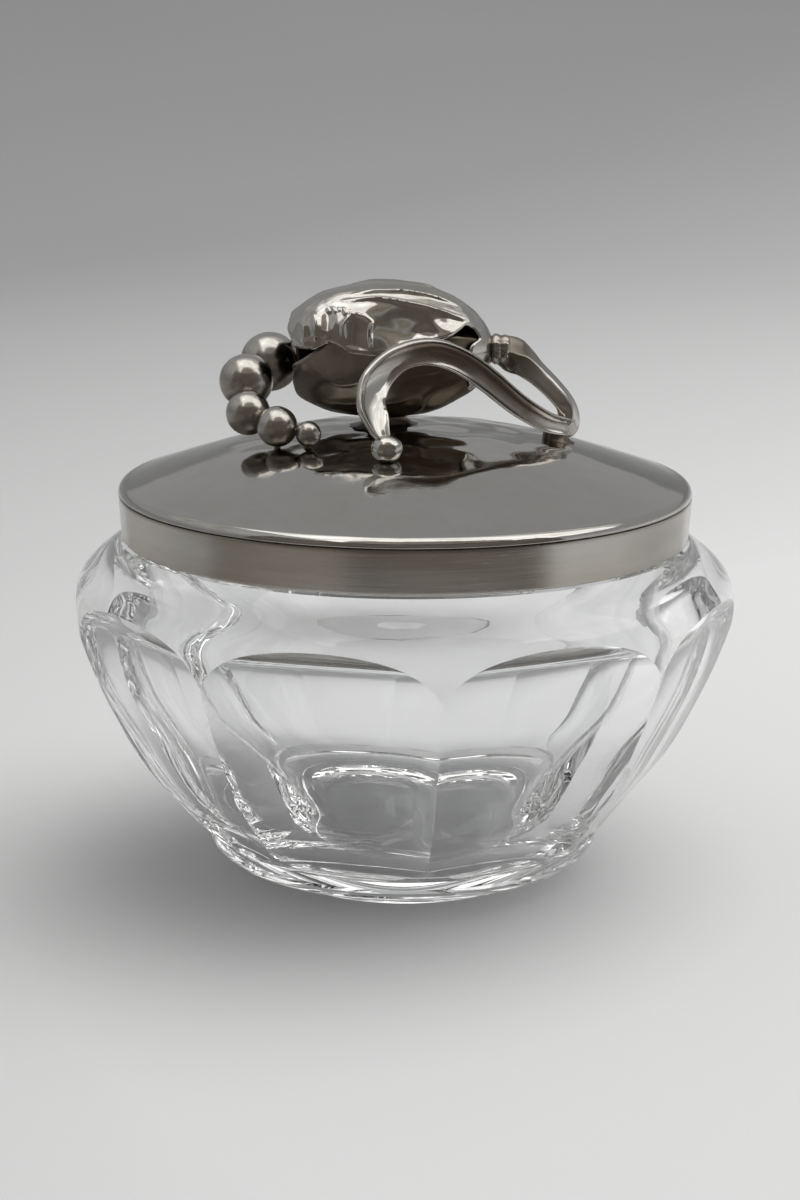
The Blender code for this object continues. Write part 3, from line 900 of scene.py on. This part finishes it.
# How the straps change along their length, from the bud or the pad to the far end
STEM_WIDTH = between([0, 0.12, 0.3, 0.6, 0.85, 1], [1.2, 1.45, 1.5, 1.3, 1.0, 0.65])
STEM_DEPTH = between([0, 0.12, 0.4, 1], [2.2, 1.9, 1.3, 1.0])
STEM_RISE = between([0, 0.18, 0.36, 0.62, 0.8, 1], [-0.2, 0.1, 1.4, 1.6, 1.0, 0.3])
STEM_LEAN = 0.9
TENDRIL_WIDTH = between([0, 0.08, 0.3, 0.6, 0.76, 0.88, 1], [0.5, 0.62, 0.8, 0.95, 1.25, 1.1, 0.45])
TENDRIL_DEPTH = between([0, 0.5, 1], [0.9, 1.1, 0.9])
TENDRIL_RISE = between([0, 0.62, 0.85, 1], [-0.32, -0.32, 0.1, 0.05])


def strap(path, section, facing, width, depth, steps=9, finer=4):
    """Points and faces of a strap; facing, width and depth are functions of the share of its path."""
    line = smooth_line(path, steps)
    edge = smooth_line([(a, b, 0.0) for a, b in section], finer, closed=True)
    rings = []
    for k, point in enumerate(line):
        share = k / (len(line) - 1)
        ahead = (line[min(k + 1, len(line) - 1)] - line[max(k - 1, 0)]).normalized()
        face = Vector(facing(share))
        face = (face - ahead * face.dot(ahead)).normalized()
        across = ahead.cross(face)
        rings.append([point + across * p.x * width(share) + face * p.y * depth(share) for p in edge])
    for ring in rings:
        for i, spot in enumerate(ring):
            ring[i] = spot + Vector([rough(spot, 3.2, seed) for seed in (7.0, 8.0, 9.0)]) * 0.05
    return skin(rings)


def stem(silver):
    def facing(share):
        return STEM_LEAN, -1.0, STEM_RISE(share)

    points, faces = strap(STEM_PATH, STEM_SECTION, facing, STEM_WIDTH, STEM_DEPTH)
    piece = add_piece("stem_strap", points, faces, silver, "lid", "silver_polished", ["stem_loop"],
                      sharp=70.0)
    # Painted shade near the collar, where the stem leaves the bud
    paint(piece, "patina", recess(STEM_PATH[1], 5.0))


def tendril(silver):
    reach = Vector(TENDRIL_PATH[1]) - Vector(TENDRIL_PATH[-1])
    flat = Vector((reach.y, -reach.x, 0.0)).normalized()

    def facing(share):
        return flat + Vector((0.0, 0.0, TENDRIL_RISE(share)))

    points, faces = strap(TENDRIL_PATH, TENDRIL_SECTION, facing, TENDRIL_WIDTH, TENDRIL_DEPTH)
    piece = add_piece("tendril_strap", points, faces, silver, "lid", "silver_polished", ["tendril_arch"],
                      sharp=70.0)
    line = smooth_line(TENDRIL_PATH, 6)

    def darkening(p):
        """Dark in the groove, where polishing doesn't get to; both ends are rubbed bright."""
        near = min((p - spot).length for spot in line)
        rubbed = clamped((p.x + 4.5) / 6.0) * clamped((24.0 - p.x) / 4.0)
        return 0.85 * rubbed * math.exp(-(near / 1.7) ** 4)

    paint(piece, "patina", darkening)


def knob(silver):
    """The ball at the tendril's end, pressed a little flat where it is soldered down."""
    low, high = box_mm("tendril_knob")
    centre = Vector(((low.x + high.x) / 2, (low.y + high.y) / 2, high.z - (high.x - low.x) / 2))
    radius = (high.x - low.x) / 2 + 0.1

    def pressed(out):
        swollen = radius + 0.07 * rough(out * radius, 1.8, 11.0)
        spot = centre + Vector((out.x * 1.08, out.y, out.z * 0.96)) * swollen
        floor = dome_height(math.hypot(spot.x, spot.y)) - 0.15
        spot.z = max(spot.z, floor)
        return spot

    piece = add_piece("tendril_ball", *ball(pressed), silver, "lid", "silver_polished",
                      ["tendril_knob"], sharp=80.0)
    paint(piece, "patina", lambda p: 0.7 * math.exp(-((p.z - low.z) / 0.8) ** 2))


def solder_feet(dark):
    """The fillets under the bud, the last two beads and the strap's shared foot."""
    low, high = box_mm("bud_post")
    post = (high.x - low.x) / 2
    top = high.z + FOOT_OVERLAP
    solder_foot("bud_foot", (low + high) / 2, top, post + 0.3, post + 3.0, dark, ["bud_post"])
    for number, nodes in ((4, ["bead_post"]), (5, [])):
        centre, radius = bead_place(number)
        top = centre.z - radius * 0.9
        solder_foot(f"pearl_foot_{number}", centre, top, 0.45, 1.3, dark, nodes)
    low, high = box_mm("loop_pad")
    top = high.z + FOOT_OVERLAP
    solder_foot("loop_foot", (low + high) / 2, top, 2.0, 3.2, dark, ["loop_pad"])


# ---------------------------------------------------------------- stage, lights and camera

TARGET = Vector((0.0, 0.0, 0.075))       # what the lamps point at
NEUTRAL = (1.0, 1.0, 0.995)
DAYLIGHT = (1.0, 0.985, 0.95)
DUSK = (1.0, 0.89, 0.76)
ROOM_LEVEL = 0.33                         # grey light from all round
ROOM_EXTRA = (("Is Diffuse Ray", 0.11), ("Is Transmission Ray", 0.12))

LENS = 70.53
EYE = (-0.00074, -0.380, 0.1383)
TILT_DOWN = 13.81
ROLL = 0.35

# The lit ceiling that the silver mirrors, (x, y) at CEILING_HEIGHT: a broad panel with an arch of
# shade over the front, a dimmer strip behind it and a dimmer panel to the left
CEILING_HEIGHT = TARGET.z + 1.0
SHADE_ARCH = [(0.21 + 0.68 * math.cos(t), -0.97 + 0.59 * math.sin(t))
              for t in np.linspace(0.05, math.pi, 17)]
CEILING_BACK = [(0.2, 0.27), (0.55, 0.22), (1.1, 0.30)]
CEILING = ([(1.12, -0.93)] + SHADE_ARCH + [(-0.57, -0.97), (-0.57, 0.37)] + CEILING_BACK
           + [(1.8, 0.30), (1.75, -0.5)])
BACK_CEILING = [(-0.57, 0.37)] + CEILING_BACK + [(1.8, 0.30), (0.9, 0.62), (-0.57, 0.62)]
SIDE_CEILING = [(-1.9, -1.1), (-0.61, -1.1), (-0.61, 0.9), (-1.9, 0.9)]

# The room in front of the table, as a curved wall, and the table round the bowl, in sectors
WALL_TURNS = np.linspace(-62.0, 62.0, 15)
WALL_FOOT = -0.05
WALL_HEAD = 0.95
TABLE_INNER = 0.16
TABLE_OUTER = 0.98
TABLE_SECTORS = (("table_card", -20.0, 52.0, DUSK, 0.125),
                 ("table_mid_card", -75.0, -20.0, DUSK, 0.21),
                 ("table_left_card", -140.0, -75.0, DAYLIGHT, 0.36),
                 ("table_right_card", 52.0, 140.0, DAYLIGHT, 0.53))


def direction(azimuth, elevation):
    """Unit vector: azimuth from the front towards +X, elevation above the floor, in degrees."""
    a, e = math.radians(azimuth), math.radians(elevation)
    return Vector((math.sin(a) * math.cos(e), -math.cos(a) * math.cos(e), math.sin(e)))


def glow_material(name, colour, strength):
    """A glowing surface whose brightness varies gently, like daylight through a blind."""
    look = Look(name)
    uneven = look.ramp(look.noise(4.0, 2.0), 0.3, 0.7, strength * 0.7, strength * 1.3)
    glow = look.add("ShaderNodeEmission", {"Color": (*colour, 1.0), "Strength": uneven})
    look.tree.nodes.remove(look.shader)
    look.end_in(glow)
    return look.material


def card(name, corners, colour, strength, in_glass, faces=None):
    """A card out of the picture that only reflections see, and rays through glass if asked."""
    mesh = bpy.data.meshes.new(name)
    mesh.from_pydata(corners, [], faces or [range(len(corners))])
    mesh.materials.append(glow_material(name, colour, strength))
    piece = bpy.data.objects.new(name, mesh)
    bpy.context.scene.collection.objects.link(piece)
    piece.visible_camera = False
    piece.visible_diffuse = False
    piece.visible_shadow = False
    piece.visible_transmission = in_glass


def sector(inner, outer, start, end, height):
    """Corners of a flat piece of a ring lying at this height, between two azimuths."""
    near = [direction(a, 0.0) * inner for a in np.linspace(start, end, 12)]
    far = [direction(a, 0.0) * outer for a in np.linspace(end, start, 12)]
    return [Vector((p.x, p.y, height)) for p in near + far]


def sweep():
    """Pale floor that rises gently all round into a backdrop, with painted shade: greyer further away
    and towards the left.
    """
    flat, reach, top = 0.9, 1.5, 0.65
    profile = [(0.0, 0.0)] + [(r, 0.0) for r in (0.05, 0.1, 0.2, 0.4, 0.65, flat)]
    profile += [(flat + reach * t, top * t ** 2) for t in np.linspace(0.0, 1.0, 41)[1:]]
    points, rings = turned(profile, 96)
    mesh = bpy.data.meshes.new("sweep")
    mesh.from_pydata(points, [], ring_faces(rings))
    mesh.shade_smooth()
    look = Look("sweep_paper")
    x = look.add("ShaderNodeSeparateXYZ", {"Vector": look.place}).outputs["X"]
    away = look.add("ShaderNodeVectorMath", {0: look.place}, operation="LENGTH").outputs["Value"]
    # Painted shade: the paper darkens with distance and more so on the left, standing for light falling
    # off away from the lamps on the right
    painted_shade_left = look.maths("MULTIPLY", x, -1.1)
    painted_falloff = look.maths("POWER", look.ramp(look.maths("ADD", away, painted_shade_left), 0.14, 1.2), 0.65)
    paper = look.mix(painted_falloff, (0.775, 0.775, 0.772, 1.0), (0.44, 0.44, 0.44, 1.0))
    blotches = look.ramp(look.noise(3.0, 3.0), 0.3, 0.7, 0.0, 0.06)
    look.set("Base Color", look.mix(blotches, paper, (0.66, 0.66, 0.665, 1.0)))
    look.set("Roughness", 0.8)
    look.set("Specular IOR Level", 0.2)
    look.set("Normal", look.bump(look.noise(700.0, 4.0), 0.06, 0.0004))
    mesh.materials.append(look.material)
    floor = bpy.data.objects.new("sweep", mesh)
    bpy.context.scene.collection.objects.link(floor)


def area_light(name, azimuth, elevation, distance, size, power):
    """A soft light that the silver doesn't mirror; the cards stand for it there."""
    light = bpy.data.lights.new(name, "AREA")
    light.shape = "DISK"
    light.size = size
    light.energy = power
    light.color = NEUTRAL
    lamp = bpy.data.objects.new(name, light)
    lamp.location = TARGET + direction(azimuth, elevation) * distance
    lamp.rotation_euler = (-direction(azimuth, elevation)).to_track_quat("-Z", "Y").to_euler()
    lamp.visible_camera = False
    lamp.visible_glossy = False
    bpy.context.scene.collection.objects.link(lamp)


def world():
    """Soft grey surroundings, paler in the glass, as in a light tent."""
    room = bpy.data.worlds.new("room")
    room.use_nodes = True
    tree = room.node_tree
    path = add_node(tree, "ShaderNodeLightPath")
    level = ROOM_LEVEL
    for ray, more in ROOM_EXTRA:
        terms = {0: path.outputs[ray], 1: more, 2: level}
        level = add_node(tree, "ShaderNodeMath", terms, operation="MULTIPLY_ADD").outputs[0]
    back = tree.nodes["Background"]
    back.inputs["Color"].default_value = (1.0, 1.0, 1.0, 1.0)
    tree.links.new(level, back.inputs["Strength"])
    scene = bpy.context.scene
    scene.world = room
    scene.cycles.max_bounces = 24
    scene.cycles.glossy_bounces = 16
    scene.cycles.transmission_bounces = 24


def camera():
    lens = bpy.data.cameras.new("camera")
    lens.lens = LENS
    lens.sensor_width = 36.0
    lens.clip_start = 0.01
    lens.clip_end = 20.0
    eye = bpy.data.objects.new("camera", lens)
    eye.location = EYE
    tilt = Matrix.Rotation(math.radians(90.0 - TILT_DOWN), 3, "X")
    eye.rotation_euler = (tilt @ Matrix.Rotation(math.radians(ROLL), 3, "Z")).to_euler()
    bpy.context.scene.collection.objects.link(eye)
    bpy.context.scene.camera = eye


def overhead_card(name, outline_xy, colour, strength, in_glass):
    """A card at the ceiling's height."""
    card(name, [(x, y, CEILING_HEIGHT) for x, y in outline_xy], colour, strength, in_glass)


def room_card():
    """The dusky room in front, on a curved wall open at the back."""
    count = len(WALL_TURNS)
    wall = [direction(a, 0.0) for a in WALL_TURNS]
    corners = [(w.x, w.y, z) for z in (WALL_FOOT, WALL_HEAD) for w in wall]
    closed = ring_faces([list(range(count)), list(range(count, 2 * count))])
    upright = closed[:-1]    # without the face that would join the wall's two ends
    card("room_card", corners, DUSK, 0.13, False, upright)


def stage():
    sweep()
    world()
    overhead_card("ceiling_card", CEILING, DAYLIGHT, 1.5, True)
    overhead_card("back_ceiling_card", BACK_CEILING, DAYLIGHT, 0.62, False)
    overhead_card("shade_card", SHADE_ARCH, DUSK, 0.27, False)
    overhead_card("side_ceiling_card", SIDE_CEILING, DAYLIGHT, 0.42, True)
    room_card()
    for name, start, end, colour, strength in TABLE_SECTORS:
        card(name, sector(TABLE_INNER, TABLE_OUTER, start, end, 0.001), colour, strength, False)
    area_light("overhead", 100.0, 70.0, 1.2, 1.4, 8.5)
    area_light("key", 122.0, 43.0, 1.3, 1.7, 5.0)


def main():
    silver = polished_silver("silver_polished", 0.08, 0.45, 0.14, 0.14)
    dome_silver = polished_silver("silver_dome", 0.03, 0.15, 0.06, 0.10)
    # A darker copy of the silver for the lower petal, the solder and the collar: partly patina, partly
    # painted shade where they sit under or between other parts
    dark = polished_silver("silver_patina", 0.12, 0.85, 0.35, 0.18)
    worn = polished_silver("silver_bead", 0.15, 0.6, 0.2, 0.12)
    glass_bowl()
    lid_dome(dome_silver)
    lid_band(brushed_silver("silver_band"))
    upper_petal(silver)
    lower_petal(dark)
    bud_heel(silver)
    for number in range(1, BEAD_COUNT + 1):
        bead(number, worn)
    for number in range(1, BEAD_COUNT):
        bead_joint(number, dark)
    collar(dark)
    stem(silver)
    tendril(silver)
    knob(silver)
    solder_feet(dark)
    stage()
    camera()
    bpy.context.scene.view_settings.view_transform = "Standard"


main()
